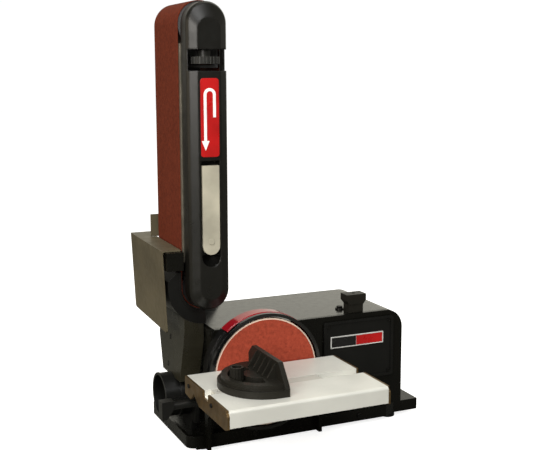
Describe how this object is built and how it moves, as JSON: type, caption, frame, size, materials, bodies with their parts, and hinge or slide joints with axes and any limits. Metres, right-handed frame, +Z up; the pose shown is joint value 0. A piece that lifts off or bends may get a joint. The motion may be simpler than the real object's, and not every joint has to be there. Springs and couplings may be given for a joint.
{
  "type": "belt disc sander",
  "caption": "Bench belt and disc sander with a folding belt arm, tilting table with mitre gauge, work stop, disc guard and dust outlet.",
  "frame": {"origin": "centre of the four bench bolt holes, on the underside of the base, 8 mm above the plane the rubber feet stand on", "axes": "+X along the machine to the right seen from the disc side, +Y from the disc towards the back, +Z up; the belt arm stands along +Z at rest"},
  "size_m": [0.423, 0.3723, 0.6155],
  "materials": {
    "black_paint": "satin black enamel",
    "hood_paint": "satin dark grey enamel",
    "black_plastic": "fine textured",
    "cover_plastic": "satin",
    "guard_red": "gloss red",
    "ivory_plastic": "satin ivory",
    "grey_plastic": "textured dark grey",
    "knob_plastic": "textured grey",
    "rubber": "matt",
    "steel": "turned steel",
    "zinc_steel": "zinc plated sheet",
    "screw_steel": "zinc plated",
    "cast_aluminium": "smooth cast and machined",
    "frame_aluminium": "die cast",
    "abrasive_belt": "aluminium oxide grit on cloth",
    "abrasive_disc": "aluminium oxide grit on paper",
    "stator": "laminated steel with copper windings",
    "label_red": "printed film",
    "badge_silver": "satin foil",
    "badge_dark": "printed field",
    "switch_green": "gloss"
  },
  "bodies": {
    "machine": {"base_tray": "black_paint", "rubber_feet": "rubber", "base_screws": "screw_steel", "front_plate": "black_paint", "motor_hood": "hood_paint", "rear_plate": "black_paint", "front_panel": "black_plastic", "panel_screws": "screw_steel", "badge_frame": "badge_silver", "badge_fields": "badge_dark", "guard_lower": "black_plastic", "guard_upper": "guard_red", "arm_rest": "black_plastic", "arm_rest_screw": "screw_steel", "dust_scoop": "black_plastic", "dust_column": "black_paint", "dust_port": "black_plastic", "column_screws": "screw_steel", "pivot_housing": "frame_aluminium", "drive_cover": "black_plastic", "drive_cover_screws": "screw_steel", "drive_belt": "rubber", "motor_stator": "stator", "motor_end_bells": "frame_aluminium", "motor_bearings": "steel", "capacitor": "grey_plastic", "switch_box": "black_plastic", "cable_gland": "rubber", "trunnions": "black_paint"},
    "switch": {"switch_rocker": "switch_green"},
    "disc": {"disc_plate": "cast_aluminium", "disc_paper": "abrasive_disc", "motor_shaft": "steel", "motor_rotor": "stator", "motor_pulley": "steel"},
    "table": {"table_top": "cast_aluminium", "table_ends": "zinc_steel", "table_end_screws": "screw_steel", "table_cheeks": "zinc_steel"},
    "table_knob": {"table_lock": "black_plastic"},
    "gauge_slider": {"gauge_bar": "steel"},
    "gauge_fence": {"gauge_head": "grey_plastic"},
    "gauge_clamp": {"gauge_knob": "grey_plastic"},
    "arm": {"arm_spine": "frame_aluminium", "arm_front_plate": "frame_aluminium", "arm_rear_plate": "frame_aluminium", "platen": "zinc_steel", "arm_cover": "cover_plastic", "size_label": "label_red", "lever_pin": "steel", "tension_spring": "steel", "sanding_belt": "abrasive_belt", "stop_clamps": "black_paint"},
    "lever": {"tension_lever": "ivory_plastic"},
    "yoke": {"idler_yoke": "frame_aluminium"},
    "idler": {"idler_roller": "frame_aluminium"},
    "tracking": {"tracking_knob": "knob_plastic"},
    "drive": {"drive_roller": "rubber", "drive_shaft": "steel"},
    "stop": {"work_stop": "zinc_steel"}
  },
  "joints": [
    {"name": "arm_fold", "type": "hinge", "parent": "machine", "child": "arm", "pos_m": [-0.15, 0.053, 0.2175], "axis": [0, 1, 0], "range_deg": [0, 90]},
    {"name": "disc_spin", "type": "hinge", "parent": "machine", "child": "disc", "pos_m": [-0.081, -0.115, 0.102], "axis": [0, 1, 0], "continuous": true},
    {"name": "roller_spin", "type": "hinge", "parent": "machine", "child": "drive", "pos_m": [-0.15, 0.053, 0.2175], "axis": [0, 1, 0], "continuous": true},
    {"name": "lever_flip", "type": "hinge", "parent": "arm", "child": "lever", "pos_m": [-0.15, -0.081, 0.382], "axis": [-1, 0, 0], "range_deg": [0, 90]},
    {"name": "yoke_slide", "type": "slide", "parent": "arm", "child": "yoke", "axis": [0, 0, -1], "range_m": [0, 0.007], "deforming": ["tension_spring"]},
    {"name": "idler_spin", "type": "hinge", "parent": "yoke", "child": "idler", "pos_m": [-0.15, -0.002, 0.57604], "axis": [0, 1, 0], "continuous": true},
    {"name": "tracking_turn", "type": "hinge", "parent": "yoke", "child": "tracking", "pos_m": [-0.15, -0.07, 0.523], "axis": [0, 0, 1], "range_deg": [-180, 180]},
    {"name": "table_tilt", "type": "hinge", "parent": "machine", "child": "table", "pos_m": [-0.0885, -0.125, 0.1135], "axis": [1, 0, 0], "range_deg": [0, 45]},
    {"name": "table_knob_turn", "type": "hinge", "parent": "machine", "child": "table_knob", "pos_m": [-0.195, -0.12748, 0.07799], "axis": [1, 0, 0], "range_deg": [-90, 90]},
    {"name": "gauge_slide", "type": "slide", "parent": "table", "child": "gauge_slider", "axis": [1, 0, 0], "range_m": [-0.09, 0.11]},
    {"name": "gauge_swivel", "type": "hinge", "parent": "gauge_slider", "child": "gauge_fence", "pos_m": [-0.128, -0.195, 0.1138], "axis": [0, 0, 1], "range_deg": [-60, 60]},
    {"name": "gauge_knob_turn", "type": "hinge", "parent": "gauge_slider", "child": "gauge_clamp", "pos_m": [-0.158, -0.195, 0.123], "axis": [0, 0, 1], "range_deg": [-180, 180]},
    {"name": "switch_rock", "type": "hinge", "parent": "machine", "child": "switch", "pos_m": [0.147, -0.01, 0.092], "axis": [0, 1, 0], "range_deg": [0, 12]},
    {"name": "stop_set", "type": "slide", "parent": "arm", "child": "stop", "axis": [-1, 0, 0], "range_m": [0, 0.004]}
  ],
  "couplings": [
    {"joint": "roller_spin", "follows": "disc_spin", "ratio": 0.5},
    {"joint": "idler_spin", "follows": "disc_spin", "ratio": 0.5},
    {"joint": "yoke_slide", "follows": "lever_flip", "m_per_rad": 0.00445}
  ]
}
